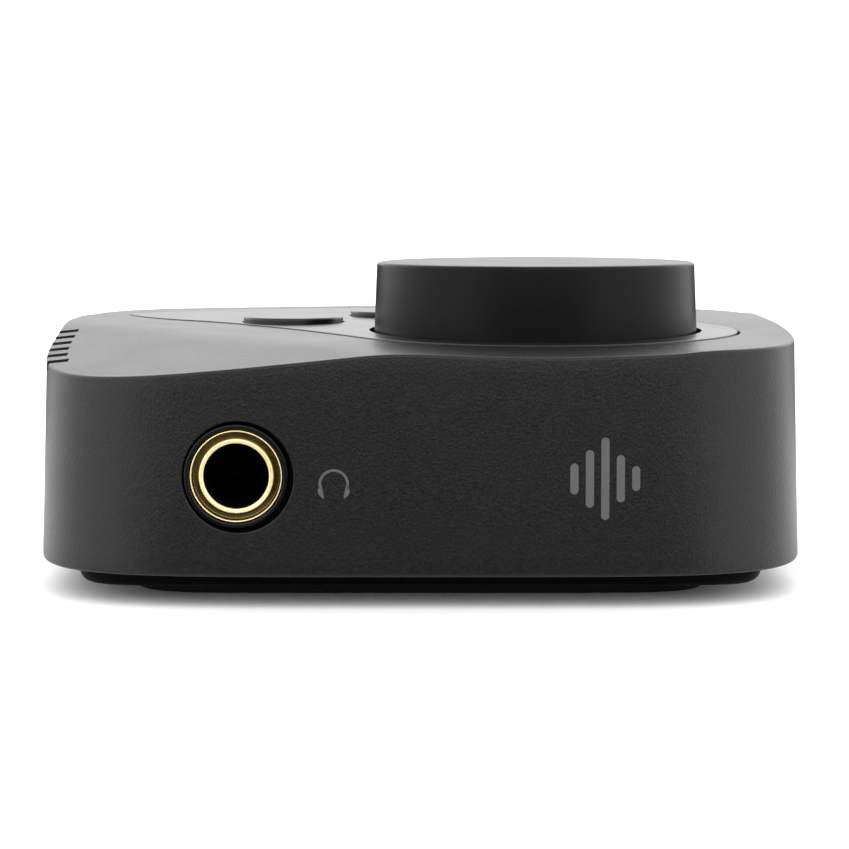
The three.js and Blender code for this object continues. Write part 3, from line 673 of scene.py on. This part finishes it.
def rounded(x, h, w, t, r, steps=6):
    """Outline of a rounded rectangle, as (x, h) pairs."""
    made = []
    for i, (sx, sh) in enumerate(((1, 1), (-1, 1), (-1, -1), (1, -1))):
        for k in range(steps + 1):
            a = math.radians(90 * (i + k / steps))
            made.append((x + sx * (w / 2 - r) + r * math.cos(a), h + sh * (t / 2 - r) + r * math.sin(a)))
    return made


def printed(name, side, areas=(), lines=(), material=None):
    """A printed mark on the front (-1) or rear (+1) wall, made of convex areas and of lines, which are
    (points, width, closed)."""
    def on_wall(p, lift):
        return (p[0], side * (wall_y(*p) + lift), BASE + p[1])
    parts = []
    for area in areas:
        parts.append(loft([[on_wall(p, lift) for p in area] for lift in (0.015, -0.05)]))
    for points, width, closed in lines:
        pairs = band(points + points[:2] if closed else points, width)
        if closed:
            pairs = pairs[1:-1]
        rings = [[on_wall(a, 0.015), on_wall(b, 0.015), on_wall(b, -0.05), on_wall(a, -0.05)] for a, b in pairs]
        parts.append(loft(rings, "ring" if closed else "caps"))
    return build(name, joined(*parts), material or PRINT, "case")


def arc(x, h, r, start, stop, steps=32):
    made = []
    for i in range(steps + 1):
        a = math.radians(start + (stop - start) * i / steps)
        made.append((x + r * math.cos(a), h + r * math.sin(a)))
    return made


# Headphones beside the headphone socket.
x, h = -8.4, 9.07
cups = [[(x + side * (1.29 + u), h + v) for u, v in
         ((-0.12, -0.05), (0.14, -0.1), (0.27, -0.7), (0.12, -1.05), (-0.28, -1.4), (-0.34, -1.25),
          (-0.2, -0.6))]
        for side in (-1, 1)]
printed("mark_headphones", -1, cups, [(arc(x, h, 1.36, -18, 198), 0.26, False)])
# Level bars at the right of the front.
lengths = (3.0, 5.6, 8.0, 4.6, 2.4)
bars = [rounded(17.9 + 1.5 * k, 9.6, 0.8, length, 0.4) for k, length in zip(range(-2, 3), lengths)]
printed("mark_levels", -1, bars)
# Rear: seen from behind, +X is at the left.
x, h = 16.5, 17.0
printed("mark_power", 1, [rounded(x, h + 0.4, 0.24, 1.0, 0.1)], [(arc(x, h, 0.74, 130, 410), 0.24, False)])
x, h = 16.45, 14.65
printed("mark_battery", 1, [rounded(x, h, 2.35, 0.8, 0.2), rounded(x - 1.66, h, 0.2, 0.6, 0.08)],
        [(rounded(x, h, 3.0, 1.45, 0.4), 0.17, True)])
leader = [(12.6, 17.05), (11.5, 17.05), (10.4, 17.05)] + arc(9.55, 16.15, 0.9, 90, 180, 12) + [(8.65, 15.1)]
printed("mark_leader", 1, (), [(leader, 0.18, False)])
h = 16.8
printed("mark_usb", 1, [rounded(USB_X, h, 1.9, 0.5, 0.24)], [(rounded(USB_X, h, 3.2, 1.4, 0.68), 0.2, True)])
x, h = -17.0, 16.6
printed("mark_input", 1, [[(x + 0.55, h), (x - 0.15, h + 0.45), (x - 0.15, h - 0.45)]],
        [([(x - 1.7, h), (x - 0.9, h), (x - 0.14, h)], 0.24, False),
         (arc(x + 1.1, h, 0.78, -140, 140), 0.24, False)])

# ---- Stage, light and camera ---------------------------------------------------------------------
mesh = bpy.data.meshes.new("floor")
size = 6
mesh.from_pydata([(-size, -size, 0), (size, -size, 0), (size, size, 0), (-size, size, 0)], [], [(0, 1, 2, 3)])
floor = bpy.data.objects.new("floor", mesh)
bpy.context.scene.collection.objects.link(floor)
floor.data.materials.append(finish("floor_pale", (0.93, 0.93, 0.93), 0.6, specular=0.1, grain=2, bump=0.0,
                                   spread=0.01, blotch=0.01))
floor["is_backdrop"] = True

# Dark cards in front of the object and behind it: only glossy surfaces see them.
card_finish = finish("card_black", (0.004, 0.004, 0.004), 0.9, specular=0.0, grain=2, bump=0.0)
for side in (-1, 1):
    near, far, tall = 0.046, 0.85, 0.10
    corners = [(-0.036, near, 0), (0.036, near, 0), (0.6, far, 0), (-0.6, far, 0), (0.6, far, tall),
               (-0.6, far, tall)]
    mesh = bpy.data.meshes.new("card")
    mesh.from_pydata([(x, side * y, 0.0005 + z) for x, y, z in corners], [], [(0, 1, 2, 3), (3, 2, 4, 5)])
    card = bpy.data.objects.new("card_front" if side < 0 else "card_rear", mesh)
    bpy.context.scene.collection.objects.link(card)
    card.data.materials.append(card_finish)
    card.visible_camera = card.visible_diffuse = card.visible_shadow = card.visible_transmission = False
    card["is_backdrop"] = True

# The studio round it: brightest a little above the horizon, softer overhead.
world = bpy.data.worlds.new("studio")
bpy.context.scene.world = world
world.use_nodes = True
nodes, links = world.node_tree.nodes, world.node_tree.links
heading = nodes.new("ShaderNodeTexCoord")
parts = nodes.new("ShaderNodeSeparateXYZ")
links.new(heading.outputs["Generated"], parts.inputs[0])
fade = nodes.new("ShaderNodeFloatCurve")
curve = fade.mapping.curves[0]
for at, value in ((0.0, 0.60), (0.22, 1.0), (0.5, 1.0), (1.0, 0.36)):
    if at in (0.0, 1.0):
        curve.points[0 if at == 0.0 else -1].location = (at, value)
    else:
        curve.points.new(at, value)
fade.mapping.update()
gain = nodes.new("ShaderNodeMath")
gain.operation = "MULTIPLY"
gain.inputs[1].default_value = 2.4
links.new(parts.outputs["Z"], fade.inputs["Value"])
links.new(fade.outputs[0], gain.inputs[0])
links.new(gain.outputs[0], nodes["Background"].inputs["Strength"])
nodes["Background"].inputs["Color"].default_value = (1, 1, 1, 1)

# The eye is where the photograph's was, as fitted to its front view, and the object is centred.
EYE_DISTANCE, EYE_HEIGHT, PITCH, TURNED, LENS = 0.3107, 38.9, 5.05, -0.081, 119.7
camera = bpy.data.cameras.new("camera")
camera.sensor_width = 36
camera.lens = LENS
eye = bpy.data.objects.new("camera", camera)
eye.location = (0, -EYE_DISTANCE, (BASE + EYE_HEIGHT) * MM)
eye.rotation_euler = (math.radians(90 - PITCH), 0, math.radians(TURNED))
bpy.context.scene.collection.objects.link(eye)
bpy.context.scene.camera = eye
bpy.context.scene.view_settings.view_transform = "Standard"

low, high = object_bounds()
